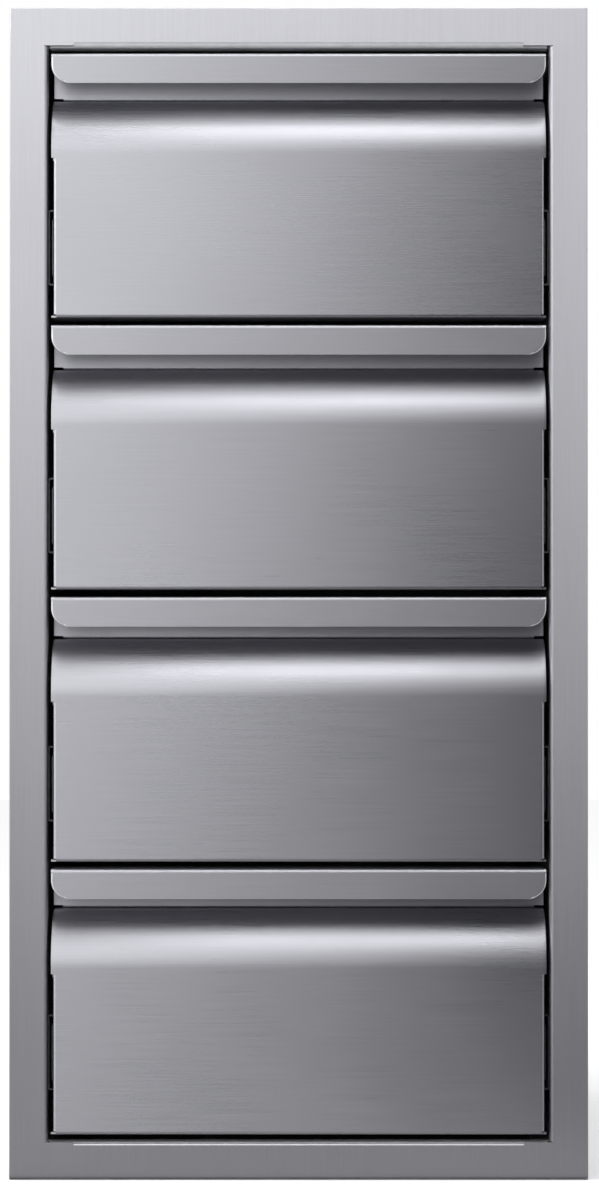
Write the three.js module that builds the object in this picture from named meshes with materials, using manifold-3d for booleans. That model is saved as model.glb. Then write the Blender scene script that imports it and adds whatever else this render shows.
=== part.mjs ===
// Built-in outdoor kitchen drawer unit: a folded steel face frame and box, with four drawers on
// ball-bearing slides.
// Millimetres. +X is to the right, -Y is the front and +Z is up. The origin is under the middle, level with
// the frame's foot.

import * as THREE from "three";
import { mergeVertices } from "three/addons/utils/BufferGeometryUtils.js";
import Module from "manifold-3d";

const wasm = await Module();
wasm.setup();

// Drawer fronts and the gaps round them
const drawerCount = 4;
const frontWidth = 293.6;
const frontHeight = 157;
const drawerGap = 4.4;
const sideGap = 2.7;
const endGap = 5;

// Sheets and seams
const frameSheet = 1.5;
const panelSheet = 1.2;
const frontSheet = 1.2;
const traySheet = 1;
const seamGap = 0.3;
const cutOverrun = 3;

// Face frame
const barWidth = 22;
const frameBend = 2.4;
const outerReturn = 6;
const innerReturn = 20;
const cornerRelief = 16;
const reliefSetback = 0.8;

// Box behind the frame
const unitDepth = 520;
const panelFlange = 12;
const panelBend = 2.4;
const backCornerRadius = 5;

// Handle: lip, top and back wall folded from one strip
const lipHeight = 17.7;
const lipCornerRadius = 11;
const handleBend = 2;
const recessDepth = 33;
const wallDrop = 24.7;
const handleReturn = 12;
const returnInset = 5.5;

// Front sheet: a flat face that rolls back under the handle
const rollRadius = 34;
const rollWaist = 3.2;
const sideStep = 1.1;
const skinBend = 1.8;
const skinFlange = 14;
const seatFlange = 12;

// Drawer tray
const trayRise = 14;
const traySideHeight = 102;
const trayLength = 448.7;
const trayBend = 2;
const trayRim = 8;
const trayRimDrop = 7;
const wallCornerRadius = 8;

// Slides: cabinet rail, middle rail and drawer rail, nested
const railLength = 450;
const railSetback = 40;
const railCentre = 45;
const railThickness = 12.7;
const railHeight = 45.6;
const outerWall = 1.2;
const outerDepth = 9.5;
const outerLip = 2.2;
const middleHeight = 35;
const middleWall = 1;
const middleDepth = 8;
const middleLip = 1.9;
const middleOffset = 2.4;
const innerHeight = 25;
const innerWall = 1.2;
const innerDepth = 7.9;
const railBend = 1.6;

// Ball cages between the rails
const cageLength = 190;
const cageSheet = 0.6;
const ballClearance = 0.1;
const ballEdge = 14;
const ballsPerArm = 3;

// Fineness of the round stretches
const bendSteps = 3;
const rollSteps = 12;
const cornerSteps = 6;
const ballSides = 5;
const ballRings = 4;

// Places worked out from the sizes above
const openingWidth = frontWidth + 2 * sideGap;
const openingHeight = drawerCount * frontHeight + (drawerCount - 1) * drawerGap + 2 * endGap;
const faceY = -unitDepth / 2;
const openingMiddle = barWidth + openingHeight / 2;
const panelPlane = openingWidth / 2 + frameSheet + seamGap;
const boxWidth = 2 * (panelPlane + panelSheet);
const panelFront = faceY + frameSheet + seamGap;
const panelDepth = unitDepth - frameSheet - panelSheet - 2 * seamGap;
const sidePanelHeight = openingHeight + 2 * frameSheet;
const boxHeight = sidePanelHeight + 2 * (seamGap + panelSheet);
const railPlane = panelPlane - seamGap;
const trayWidth = 2 * (railPlane - railThickness - seamGap);
const drawerPitch = frontHeight + drawerGap;
const wallFoot = frontHeight - wallDrop;
const rollTop = wallFoot - seamGap;
const rollStart = rollTop - rollRadius;
const flatWidth = frontWidth - 2 * sideStep;
const trayFront = rollRadius + seamGap;

// A fold of a sheet, seen in section: where its two faces would meet, and the radius that rounds it.
function fold(x, y, radius = 0, steps = bendSteps) {
  return { at: new THREE.Vector2(x, y), radius, steps };
}

function heading(from, to) {
  return to.at.clone().sub(from.at).normalize();
}

function turnBetween(before, after) {
  return Math.atan2(before.cross(after), before.dot(after));
}

// The points of a line through the folds, with an arc at each rounded one.
function foldedLine(folds) {
  const points = [];
  folds.forEach((here, index) => {
    const isEnd = index === 0 || index === folds.length - 1;
    if (isEnd || here.radius === 0) {
      points.push(here.at.clone());
      return;
    }
    const before = heading(folds[index - 1], here);
    const turn = turnBetween(before, heading(here, folds[index + 1]));
    const reach = here.radius * Math.tan(Math.abs(turn) / 2);
    const start = here.at.clone().addScaledVector(before, -reach);
    const towardsCentre = new THREE.Vector2(-before.y, before.x).multiplyScalar(Math.sign(turn));
    const centre = start.clone().addScaledVector(towardsCentre, here.radius);
    for (let step = 0; step <= here.steps; step += 1) {
      points.push(start.clone().rotateAround(centre, (turn * step) / here.steps));
    }
  });
  return points;
}

// The same folds on the sheet's other face, to the left of the line, or to the right of it where the distance
// is negative.
function otherFace(folds, distance) {
  const last = folds.length - 1;
  return folds.map((here, index) => {
    const before = index > 0 ? heading(folds[index - 1], here) : heading(here, folds[1]);
    const after = index < last ? heading(here, folds[index + 1]) : before;
    const turn = turnBetween(before, after);
    const along = before.clone().add(after).normalize();
    const normal = new THREE.Vector2(-along.y, along.x);
    const at = here.at.clone().addScaledVector(normal, distance / Math.cos(turn / 2));
    const radius = here.radius === 0 ? 0 : Math.max(here.radius - distance * Math.sign(turn), 0);
    return { at, radius, steps: here.steps };
  });
}

// The closed outline of a folded sheet.
function sheetOutline(folds, distance) {
  return [...foldedLine(folds), ...foldedLine(otherFace(folds, distance)).reverse()];
}

const unitX = new THREE.Vector3(1, 0, 0);
const unitY = new THREE.Vector3(0, 1, 0);
const unitZ = new THREE.Vector3(0, 0, 1);

function prism(outline, length) {
  const settings = { depth: length, bevelEnabled: false, curveSegments: 1 };
  return new THREE.ExtrudeGeometry(new THREE.Shape(outline), settings);
}

// A side-view outline in Y and Z, carried across the width about the middle.
function acrossX(outline, width) {
  const geometry = prism(outline, width);
  geometry.translate(0, 0, -width / 2);
  geometry.applyMatrix4(new THREE.Matrix4().makeBasis(unitY, unitZ, unitX));
  return solidOf(geometry);
}

// A front-view outline in X and Z, carried backwards from the given Y.
function alongY(outline, start, length) {
  const geometry = prism(outline, length);
  geometry.translate(0, 0, -start - length);
  geometry.applyMatrix4(new THREE.Matrix4().makeBasis(unitX, unitZ, unitY.clone().negate()));
  return solidOf(geometry);
}

// A plan outline in X and Y, carried upwards from the given Z.
function upZ(outline, start, height) {
  const geometry = prism(outline, height);
  geometry.translate(0, 0, start);
  return solidOf(geometry);
}

function block(low, high) {
  const size = high.clone().sub(low);
  const geometry = new THREE.BoxGeometry(size.x, size.y, size.z);
  const middle = low.clone().add(high).multiplyScalar(1 / 2);
  geometry.translate(middle.x, middle.y, middle.z);
  return solidOf(geometry);
}

function solidOf(geometry) {
  const bare = geometry.clone();
  bare.deleteAttribute("normal");
  bare.deleteAttribute("uv");
  const merged = mergeVertices(bare);
  const vertProperties = Float32Array.from(merged.attributes.position.array);
  const triVerts = Uint32Array.from(merged.index.array);
  return new wasm.Manifold(new wasm.Mesh({ numProp: 3, vertProperties, triVerts }));
}

function geometryOf(solid) {
  const mesh = solid.getMesh();
  const geometry = new THREE.BufferGeometry();
  geometry.setAttribute("position", new THREE.BufferAttribute(mesh.vertProperties, 3));
  geometry.setIndex(new THREE.BufferAttribute(mesh.triVerts, 1));
  geometry.computeVertexNormals();
  return geometry;
}

// A rectangle whose corners are rounded, as a closed outline.
function roundedRectangle(left, bottom, right, top, radius) {
  const middleX = (left + right) / 2;
  const folds = [
    fold(middleX, bottom),
    fold(right, bottom, radius, cornerSteps),
    fold(right, top, radius, cornerSteps),
    fold(left, top, radius, cornerSteps),
    fold(left, bottom, radius, cornerSteps),
    fold(middleX, bottom),
  ];
  return foldedLine(folds).slice(0, -1);
}

// Materials

function steel(color, roughness) {
  return new THREE.MeshStandardMaterial({ color, roughness, metalness: 1, flatShading: true });
}

const frameSteel = () => steel(0xbdbdc4, 0.34);
const frontSteel = () => steel(0xb4b5bd, 0.34);
const panelSteel = () => steel(0xa3a4a8, 0.4);
const traySteel = () => steel(0xaaabb0, 0.38);
const railSteel = () => steel(0x8d9196, 0.45);
const cageSteel = () => steel(0x6f7378, 0.5);

function piece(name, solid, material) {
  const mesh = new THREE.Mesh(geometryOf(solid), material);
  mesh.name = name;
  return mesh;
}

// Face frame: one folded section carried round the opening with mitred corners.
// The section runs outwards from the opening's edge and backwards from the face.
function frameRing() {
  const section = sheetOutline(
    [
      fold(0, innerReturn),
      fold(0, 0, frameBend),
      fold(barWidth, 0, frameBend),
      fold(barWidth, outerReturn),
    ],
    frameSheet,
  );
  const cornerSigns = [
    [-1, -1],
    [1, -1],
    [1, 1],
    [-1, 1],
  ];
  const positions = [];
  for (const [signX, signZ] of cornerSigns) {
    for (const point of section) {
      const x = signX * (openingWidth / 2 + point.x);
      const z = signZ * (openingHeight / 2 + point.x);
      positions.push(x, point.y, z);
    }
  }
  const indices = [];
  for (let corner = 0; corner < cornerSigns.length; corner += 1) {
    const next = (corner + 1) % cornerSigns.length;
    for (let index = 0; index < section.length; index += 1) {
      const after = (index + 1) % section.length;
      const here = corner * section.length;
      const there = next * section.length;
      indices.push(here + index, there + after, there + index);
      indices.push(here + index, here + after, there + after);
    }
  }
  const geometry = new THREE.BufferGeometry();
  geometry.setAttribute("position", new THREE.Float32BufferAttribute(positions, 3));
  geometry.setIndex(indices);
  return solidOf(geometry);
}

// Near each corner the upper and lower edges of the opening are cut square, and the return behind them is a
// tab set back.
function faceFrame() {
  let frame = frameRing();
  const halfWidth = openingWidth / 2;
  const halfHeight = openingHeight / 2;
  for (const signX of [-1, 1]) {
    for (const signZ of [-1, 1]) {
      const ends = [signX * (halfWidth - cornerRelief), signX * (halfWidth + frameBend)];
      const edge = [signZ * halfHeight, signZ * (halfHeight + frameBend)];
      const tab = [signZ * (halfHeight - cutOverrun), signZ * (halfHeight + reliefSetback)];
      const squareEdge = block(
        new THREE.Vector3(Math.min(...ends), 0, Math.min(...edge)),
        new THREE.Vector3(Math.max(...ends), frameSheet, Math.max(...edge)),
      );
      const inner = signX * (halfWidth - cornerRelief);
      const setback = block(
        new THREE.Vector3(Math.min(inner, signX * halfWidth), frameSheet, Math.min(...tab)),
        new THREE.Vector3(Math.max(inner, signX * halfWidth), innerReturn + cutOverrun, Math.max(...tab)),
      );
      frame = frame.add(squareEdge).subtract(setback);
    }
  }
  return frame;
}

// Side panel of the box, seen from its middle height. Its inner face is at X zero and its front flange turns
// outwards. Each end stops short of the other flanges by a bend, which leaves the corners relieved.
function sidePanel() {
  const innerBend = panelBend - panelSheet;
  const halfHeight = sidePanelHeight / 2;
  const plan = sheetOutline(
    [
      fold(-panelFlange, 0),
      fold(0, 0, panelBend),
      fold(0, panelDepth - panelSheet, innerBend),
      fold(panelFlange, panelDepth - panelSheet),
    ],
    panelSheet,
  );
  const upright = upZ(plan, -halfHeight + panelBend, sidePanelHeight - 2 * panelBend);
  const channel = sheetOutline(
    [
      fold(panelFlange, -halfHeight + panelSheet),
      fold(0, -halfHeight + panelSheet, innerBend),
      fold(0, halfHeight - panelSheet, innerBend),
      fold(panelFlange, halfHeight - panelSheet),
    ],
    panelSheet,
  );
  const flangeStart = innerReturn + seamGap - (panelFront - faceY);
  const flangeLength = panelDepth - panelBend - flangeStart;
  return upright.add(alongY(channel, flangeStart, flangeLength));
}

// Top panel of the box: a front flange turned up behind the frame and a rear flange turned down between the
// side panels. The bottom panel is the same sheet turned over.
function endPanel() {
  const webEnd = panelDepth - panelSheet;
  const full = sheetOutline([fold(0, panelFlange), fold(0, 0, panelBend), fold(panelDepth, 0)], panelSheet);
  const hooked = sheetOutline(
    [fold(panelBend, 0), fold(webEnd, 0, panelBend - panelSheet), fold(webEnd, -panelFlange)],
    panelSheet,
  );
  const hookWidth = 2 * (panelPlane - panelFlange - seamGap);
  const cutBack = block(
    new THREE.Vector3(-hookWidth / 2, panelDepth - panelBend, -cutOverrun),
    new THREE.Vector3(hookWidth / 2, panelDepth + cutOverrun, panelSheet + cutOverrun),
  );
  return acrossX(full, boxWidth).subtract(cutBack).add(acrossX(hooked, hookWidth));
}

function backPanel() {
  const halfWidth = boxWidth / 2;
  const halfHeight = boxHeight / 2;
  const outline = roundedRectangle(-halfWidth, -halfHeight, halfWidth, halfHeight, backCornerRadius);
  return alongY(outline, 0, panelSheet);
}

// Handle: the strip runs up the lip, back over the top, down the recess's back wall and out behind the roll.
function handleFolds() {
  const wallBack = recessDepth + frontSheet;
  return [
    fold(0, frontHeight - lipHeight),
    fold(0, frontHeight, handleBend),
    fold(wallBack, frontHeight, handleBend),
    fold(wallBack, wallFoot + frontSheet, handleBend - frontSheet),
    fold(wallBack + handleReturn, wallFoot + frontSheet),
  ];
}

// What is cut from a lip's lower corner, leaving it round.
function lipCorner(sign) {
  const edge = sign * (frontWidth / 2);
  const foot = frontHeight - lipHeight;
  const outline = foldedLine([
    fold(edge, foot + lipCornerRadius),
    fold(edge, foot, lipCornerRadius, cornerSteps),
    fold(edge - sign * lipCornerRadius, foot),
  ]);
  const beyond = sign * cutOverrun;
  outline.push(new THREE.Vector2(edge - sign * lipCornerRadius, foot - cutOverrun));
  outline.push(new THREE.Vector2(edge + beyond, foot - cutOverrun));
  outline.push(new THREE.Vector2(edge + beyond, foot + lipCornerRadius));
  return alongY(outline, -cutOverrun, handleBend + cutOverrun);
}

function handleChannel() {
  const folds = handleFolds();
  const wallEnd = fold(recessDepth + frontSheet, wallFoot + handleBend);
  const wide = acrossX(sheetOutline([...folds.slice(0, 3), wallEnd], -frontSheet), frontWidth);
  const narrow = acrossX(sheetOutline(folds.slice(2), -frontSheet), frontWidth - 2 * returnInset);
  return wide.add(narrow).subtract(lipCorner(-1)).subtract(lipCorner(1));
}

// Front sheet. The roll is as wide as the handle, and the flat face below its waist is narrower, with folded
// sides.
function rolledStrip() {
  const outline = sheetOutline(
    [
      fold(0, rollStart - rollWaist),
      fold(0, rollTop, rollRadius, rollSteps),
      fold(rollRadius + seatFlange, rollTop),
    ],
    -frontSheet,
  );
  return acrossX(outline, frontWidth);
}

function flatFace() {
  const half = flatWidth / 2;
  const outline = sheetOutline(
    [
      fold(-half + skinFlange, rollRadius),
      fold(-half, rollRadius, skinBend),
      fold(-half, 0, skinBend),
      fold(half, 0, skinBend),
      fold(half, rollRadius, skinBend),
      fold(half - skinFlange, rollRadius),
    ],
    frontSheet,
  );
  const lift = skinBend;
  return upZ(outline, lift, rollStart - rollWaist - lift);
}

// The face's foot is folded back, and the folded sheet runs out to the roll's full width.
function faceFoot() {
  const folds = [fold(0, 2 * skinBend), fold(0, 0, skinBend), fold(rollRadius, 0)];
  const bent = acrossX(sheetOutline(folds, frontSheet), flatWidth - 2 * skinBend);
  const shelf = block(
    new THREE.Vector3(-frontWidth / 2, skinBend, 0),
    new THREE.Vector3(frontWidth / 2, rollRadius, frontSheet),
  );
  const riser = (sign) => {
    const outer = sign * (flatWidth / 2);
    const inner = sign * (flatWidth / 2 - frontSheet);
    return block(
      new THREE.Vector3(Math.min(outer, inner), skinBend, 0),
      new THREE.Vector3(Math.max(outer, inner), rollRadius, 2 * skinBend),
    );
  };
  return bent.add(shelf).add(riser(-1)).add(riser(1));
}

// A folded side is carried up inside the roll as a cheek that closes its end.
function rollCheek(sign) {
  const inside = frontSheet / 2;
  const foot = rollStart - rollWaist - skinBend;
  const outline = foldedLine([
    fold(inside, foot),
    fold(inside, rollTop - inside, rollRadius - inside, rollSteps),
    fold(rollRadius, rollTop - inside),
    fold(rollRadius, foot),
  ]);
  const outer = sign * (flatWidth / 2);
  const middle = outer - sign * (frontSheet / 2);
  return acrossX(outline, frontSheet).translate([middle, 0, 0]);
}

function frontSkin() {
  return rolledStrip().add(flatFace()).add(faceFoot()).add(rollCheek(-1)).add(rollCheek(1));
}

// Tray: floor, sides and rolled rims folded from one sheet, with a front wall that carries the face and a
// rear wall.
function tray() {
  const half = trayWidth / 2;
  const rimTop = trayRise + traySideHeight;
  const trough = sheetOutline(
    [
      fold(-half + trayRim, rimTop - trayRimDrop),
      fold(-half + trayRim, rimTop, trayBend),
      fold(-half, rimTop, trayBend),
      fold(-half, trayRise, trayBend),
      fold(half, trayRise, trayBend),
      fold(half, rimTop, trayBend),
      fold(half - trayRim, rimTop, trayBend),
      fold(half - trayRim, rimTop - trayRimDrop),
    ],
    traySheet,
  );
  const frontTop = rollTop - frontSheet - seamGap;
  const frontWall = roundedRectangle(-half, trayRise, half, frontTop, wallCornerRadius);
  const rearWall = roundedRectangle(-half, trayRise, half, rimTop, trayBend);
  const inset = traySheet / 2;
  return alongY(trough, trayFront + inset, trayLength - 2 * inset)
    .add(alongY(frontWall, trayFront, traySheet))
    .add(alongY(rearWall, trayFront + trayLength - traySheet, traySheet));
}

// A slide's rail, a channel whose web is at the given place and whose lips turn in.
// It opens in the direction of the sign, which is positive towards the drawer.
function rail(webFace, height, depth, wall, lip, sign) {
  const half = height / 2;
  const tip = webFace + sign * depth;
  const flanges = [
    fold(tip, -half, lip === 0 ? 0 : railBend),
    fold(webFace, -half, railBend),
    fold(webFace, half, railBend),
    fold(tip, half, lip === 0 ? 0 : railBend),
  ];
  const lipEnd = half - wall - lip;
  const folds = lip === 0 ? flanges : [fold(tip, -lipEnd), ...flanges, fold(tip, lipEnd)];
  return alongY(sheetOutline(folds, -sign * wall), 0, railLength);
}

const cabinetRail = () => rail(0, railHeight, outerDepth, outerWall, outerLip, 1);
const middleRail = () => rail(middleOffset, middleHeight, middleDepth, middleWall, middleLip, 1);
const drawerRail = () => rail(railThickness, innerHeight, innerDepth, innerWall, 0, -1);

function ball(diameter) {
  const geometry = new THREE.SphereGeometry(diameter / 2, ballSides, ballRings);
  geometry.rotateX(Math.PI / 2);
  return solidOf(geometry);
}

// A cage is a thin channel whose two arms hold the balls between one rail's flange and the next.
function ballCage(webFace, tip, outerFace, innerFace) {
  const raceMiddle = (outerFace + innerFace) / 2;
  const armFace = raceMiddle + cageSheet / 2;
  const channel = sheetOutline(
    [
      fold(tip, -armFace),
      fold(webFace, -armFace, cageSheet),
      fold(webFace, armFace, cageSheet),
      fold(tip, armFace),
    ],
    -cageSheet,
  );
  let cage = alongY(channel, 0, cageLength);
  const bead = ball(outerFace - innerFace - 2 * ballClearance);
  const ballX = (webFace + cageSheet + tip) / 2;
  const ballStep = (cageLength - 2 * ballEdge) / (ballsPerArm - 1);
  for (let index = 0; index < ballsPerArm; index += 1) {
    const y = ballEdge + index * ballStep;
    cage = cage.add(bead.translate([ballX, y, raceMiddle])).add(bead.translate([ballX, y, -raceMiddle]));
  }
  return cage;
}

function outerCage() {
  const webFace = outerWall + seamGap;
  const tip = outerDepth - outerWall - seamGap;
  return ballCage(webFace, tip, railHeight / 2 - outerWall, middleHeight / 2);
}

function innerCage() {
  const webFace = middleOffset + middleWall + seamGap;
  const tip = middleOffset + middleDepth - middleWall - seamGap;
  return ballCage(webFace, tip, middleHeight / 2 - middleWall, innerHeight / 2);
}

// Assembly

const unit = new THREE.Group();

function box() {
  const group = new THREE.Group();
  const frame = piece("face_frame", faceFrame(), frameSteel());
  frame.position.set(0, faceY, openingMiddle);
  const side = sidePanel();
  const left = piece("left_side_panel", side, panelSteel());
  left.position.set(-panelPlane, panelFront, openingMiddle);
  const right = piece("right_side_panel", side, panelSteel());
  right.position.set(panelPlane, panelFront, openingMiddle);
  right.rotation.y = Math.PI;
  const end = endPanel();
  const endPlane = sidePanelHeight / 2 + seamGap;
  const top = piece("top_panel", end, panelSteel());
  top.position.set(0, panelFront, openingMiddle + endPlane);
  const bottom = piece("bottom_panel", end, panelSteel());
  bottom.position.set(0, panelFront, openingMiddle - endPlane);
  bottom.rotation.y = Math.PI;
  const back = piece("back_panel", backPanel(), panelSteel());
  back.position.set(0, panelFront + panelDepth + seamGap, openingMiddle);
  group.add(frame, left, right, top, bottom, back);
  return group;
}

// One slide, in the order its pieces nest from the side panel to the tray.
function slide(drawer, sideName, shapes) {
  const group = new THREE.Group();
  const name = (part) => `${drawer}_${sideName}_${part}`;
  const cageStart = (railLength - cageLength) / 2;
  const outer = piece(name("outer_ball_cage"), shapes.outerCage, cageSteel());
  const inner = piece(name("inner_ball_cage"), shapes.innerCage, cageSteel());
  outer.position.y = cageStart;
  inner.position.y = cageStart;
  group.add(
    piece(name("cabinet_rail"), shapes.cabinetRail, railSteel()),
    outer,
    piece(name("middle_rail"), shapes.middleRail, railSteel()),
    inner,
    piece(name("drawer_rail"), shapes.drawerRail, railSteel()),
  );
  return group;
}

// The drawers are numbered from the top.
function drawers() {
  const group = new THREE.Group();
  const shapes = {
    cabinetRail: cabinetRail(),
    middleRail: middleRail(),
    drawerRail: drawerRail(),
    outerCage: outerCage(),
    innerCage: innerCage(),
  };
  const skin = frontSkin();
  const handle = handleChannel();
  const bin = tray();
  for (let index = 0; index < drawerCount; index += 1) {
    const drawer = `drawer_${index + 1}`;
    const foot = barWidth + endGap + (drawerCount - 1 - index) * drawerPitch;
    const front = new THREE.Group();
    front.position.set(0, faceY, foot);
    front.add(
      piece(`${drawer}_handle_channel`, handle, frontSteel()),
      piece(`${drawer}_front_skin`, skin, frontSteel()),
      piece(`${drawer}_tray`, bin, traySteel()),
    );
    const leftSlide = slide(drawer, "left", shapes);
    leftSlide.position.set(-railPlane, faceY + railSetback, foot + railCentre);
    const rightSlide = slide(drawer, "right", shapes);
    rightSlide.position.set(railPlane, faceY + railSetback, foot + railCentre);
    rightSlide.rotation.y = Math.PI;
    group.add(front, leftSlide, rightSlide);
  }
  return group;
}

unit.add(box(), drawers());

export default unit;
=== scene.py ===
from math import radians

import bmesh
import bpy
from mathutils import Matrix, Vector


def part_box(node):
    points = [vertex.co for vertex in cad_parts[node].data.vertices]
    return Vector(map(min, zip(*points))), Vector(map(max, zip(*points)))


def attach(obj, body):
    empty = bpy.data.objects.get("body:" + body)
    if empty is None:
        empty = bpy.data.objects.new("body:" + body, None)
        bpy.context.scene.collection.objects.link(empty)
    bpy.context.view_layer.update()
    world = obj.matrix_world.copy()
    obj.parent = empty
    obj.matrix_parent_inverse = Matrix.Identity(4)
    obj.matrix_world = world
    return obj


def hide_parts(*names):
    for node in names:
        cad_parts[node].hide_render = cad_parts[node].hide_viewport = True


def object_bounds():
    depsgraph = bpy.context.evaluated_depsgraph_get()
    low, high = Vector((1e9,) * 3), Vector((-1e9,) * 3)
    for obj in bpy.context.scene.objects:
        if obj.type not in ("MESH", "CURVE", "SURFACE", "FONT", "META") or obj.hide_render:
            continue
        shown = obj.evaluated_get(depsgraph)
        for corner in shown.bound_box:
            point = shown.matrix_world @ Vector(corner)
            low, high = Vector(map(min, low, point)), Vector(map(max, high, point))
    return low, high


# Outdoor kitchen drawer unit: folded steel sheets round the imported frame. Metres, +Z up, front towards -Y.

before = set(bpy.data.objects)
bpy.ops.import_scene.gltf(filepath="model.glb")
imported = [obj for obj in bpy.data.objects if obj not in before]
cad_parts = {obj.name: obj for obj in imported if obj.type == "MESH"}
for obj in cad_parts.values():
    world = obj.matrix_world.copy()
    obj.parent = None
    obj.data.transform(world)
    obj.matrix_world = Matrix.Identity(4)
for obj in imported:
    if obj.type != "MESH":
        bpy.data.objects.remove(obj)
cadLow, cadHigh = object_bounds()

drawerNames = ["drawer_1", "drawer_2", "drawer_3", "drawer_4"]
sides = {"left": -1, "right": 1}


# Working in edit mode

closeBy = 1e-5
mergeDistance = 1e-6
straight = 0.99  # the least share of one axis in a direction that counts as straight along it
softening = {"fromAngle": 50, "smoothAngle": 40, "flatWeight": 100}


def clearSelection():
    if bpy.context.object and bpy.context.object.mode != "OBJECT":
        bpy.ops.object.mode_set(mode="OBJECT")
    bpy.ops.object.select_all(action="DESELECT")


def near(first, second):
    return abs(first - second) < closeBy


# A direction is tested by its share of one axis: runs(along.z) holds where it runs along Z or nearly so, and
# isSquare(along.z) where it lies square to Z.
def runs(part):
    return abs(part) > 0.9


def isSquare(part):
    return abs(part) < 0.1


# A flat sheet between two corners, left in edit mode with all of it selected.
def addSheet(name, low, high):
    clearSelection()
    low, high = Vector(low), Vector(high)
    span = high - low
    flatAxis = min(range(3), key=lambda axis: abs(span[axis]))
    turn = [(0, radians(90), 0), (radians(90), 0, 0), (0, 0, 0)][flatAxis]
    width = [span.z, span.x, span.x][flatAxis]
    height = [span.y, span.z, span.y][flatAxis]
    bpy.ops.mesh.primitive_plane_add(size=1, location=(low + high) / 2, rotation=turn)
    sheet = bpy.context.object
    sheet.name = name
    sheet.data.name = name
    sheet.scale = (width, height, 1)
    bpy.ops.object.transform_apply(location=True, rotation=True, scale=True)
    bpy.ops.object.mode_set(mode="EDIT")
    bpy.ops.mesh.select_mode(type="EDGE")
    return sheet


# Selects the edges whose middle and direction pass a test.
def pickEdges(test):
    bpy.ops.mesh.select_mode(type="EDGE")
    bpy.ops.mesh.select_all(action="DESELECT")
    mesh = bpy.context.object.data
    shape = bmesh.from_edit_mesh(mesh)
    for edge in shape.edges:
        start, end = (vertex.co for vertex in edge.verts)
        if test((start + end) / 2, (end - start).normalized()):
            edge.select_set(True)
    bmesh.update_edit_mesh(mesh)


# Selects the faces whose middle and normal pass a test.
def pickFaces(test):
    bpy.ops.mesh.select_mode(type="FACE")
    bpy.ops.mesh.select_all(action="DESELECT")
    mesh = bpy.context.object.data
    shape = bmesh.from_edit_mesh(mesh)
    for face in shape.faces:
        if test(face.calc_center_median(), face.normal):
            face.select_set(True)
    bmesh.update_edit_mesh(mesh)


def pickVertices(test):
    bpy.ops.mesh.select_mode(type="VERT")
    bpy.ops.mesh.select_all(action="DESELECT")
    mesh = bpy.context.object.data
    shape = bmesh.from_edit_mesh(mesh)
    for vertex in shape.verts:
        if test(vertex.co):
            vertex.select_set(True)
    bmesh.update_edit_mesh(mesh)


def slideEdge(x=0, y=0, z=0):
    bpy.ops.mesh.extrude_region_move(TRANSFORM_OT_translate={"value": (x, y, z)})


# Carries the selected edge on from a point, through straight runs that may each end in a square bend.
# Each step of the path is (straight length, bend radius); a negative radius bends the other way.
def carryOn(at, heading, axis, path, steps=6):
    at, heading, axis = Vector(at), Vector(heading), Vector(axis)
    for length, radius in path:
        if length:
            slideEdge(*(heading * length))
            at = at + heading * length
        if radius:
            turn = 1 if radius > 0 else -1
            inwards = heading.cross(axis) * turn
            centre = at + inwards * abs(radius)
            bpy.ops.mesh.spin(steps=steps, angle=radians(90), center=centre, axis=axis * turn)
            at = centre + heading * abs(radius)
            heading = inwards


def cutAt(point, normal):
    bpy.ops.mesh.select_all(action="SELECT")
    bpy.ops.mesh.bisect(plane_co=point, plane_no=normal)


def roundVertices(test, radius, segments=10):
    pickVertices(test)
    bpy.ops.mesh.bevel(offset=radius, segments=segments, profile=0.5, affect="VERTICES")


# Turns the open sheet's faces so that its largest one looks along the given direction.
def faceSheet(direction):
    bpy.ops.mesh.select_all(action="SELECT")
    bpy.ops.mesh.remove_doubles(threshold=mergeDistance)
    bpy.ops.mesh.normals_make_consistent(inside=False)
    shape = bmesh.from_edit_mesh(bpy.context.object.data)
    facing = max(shape.faces, key=lambda face: face.calc_area() * abs(face.normal.dot(Vector(direction))))
    if facing.normal.dot(Vector(direction)) < 0:
        bpy.ops.mesh.flip_normals()


def pickObject(piece):
    clearSelection()
    piece.select_set(True)
    bpy.context.view_layer.objects.active = piece


# Gives the sheet its thickness, behind the faces that were modelled.
def thicken(sheet, thickness, offset=-1):
    pickObject(sheet)
    bpy.ops.object.modifier_add(type="SOLIDIFY")
    solid = sheet.modifiers[-1]
    solid.thickness = thickness
    solid.offset = offset
    solid.use_even_offset = True
    bpy.ops.object.modifier_apply(modifier=solid.name)


# Takes the sharpness off cut edges, and shades the bends smooth.
def softenEdges(piece, width, segments=2):
    pickObject(piece)
    bpy.ops.object.modifier_add(type="BEVEL")
    soft = piece.modifiers[-1]
    soft.width = width
    soft.segments = segments
    soft.limit_method = "ANGLE"
    soft.angle_limit = radians(softening["fromAngle"])
    bpy.ops.object.modifier_apply(modifier=soft.name)
    bpy.ops.object.shade_smooth_by_angle(angle=radians(softening["smoothAngle"]))
    bpy.ops.object.modifier_add(type="WEIGHTED_NORMAL")
    flats = piece.modifiers[-1]
    flats.keep_sharp = True
    flats.weight = softening["flatWeight"]
    bpy.ops.object.modifier_apply(modifier=flats.name)


def joinPieces(first, *others):
    pickObject(first)
    for other in others:
        other.select_set(True)
    bpy.ops.object.join()
    return first


# A copy with its own mesh, further along by the given step.
def copyPiece(piece, name, step):
    pickObject(piece)
    bpy.ops.object.duplicate()
    copy = bpy.context.object
    copy.name = name
    copy.data.name = name
    bpy.ops.transform.translate(value=step)
    bpy.ops.object.transform_apply(location=True, rotation=True, scale=True)
    return copy


# Brushed finishes: the grain is noise that is stretched far along it, with soft clouds in its roughness

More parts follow.
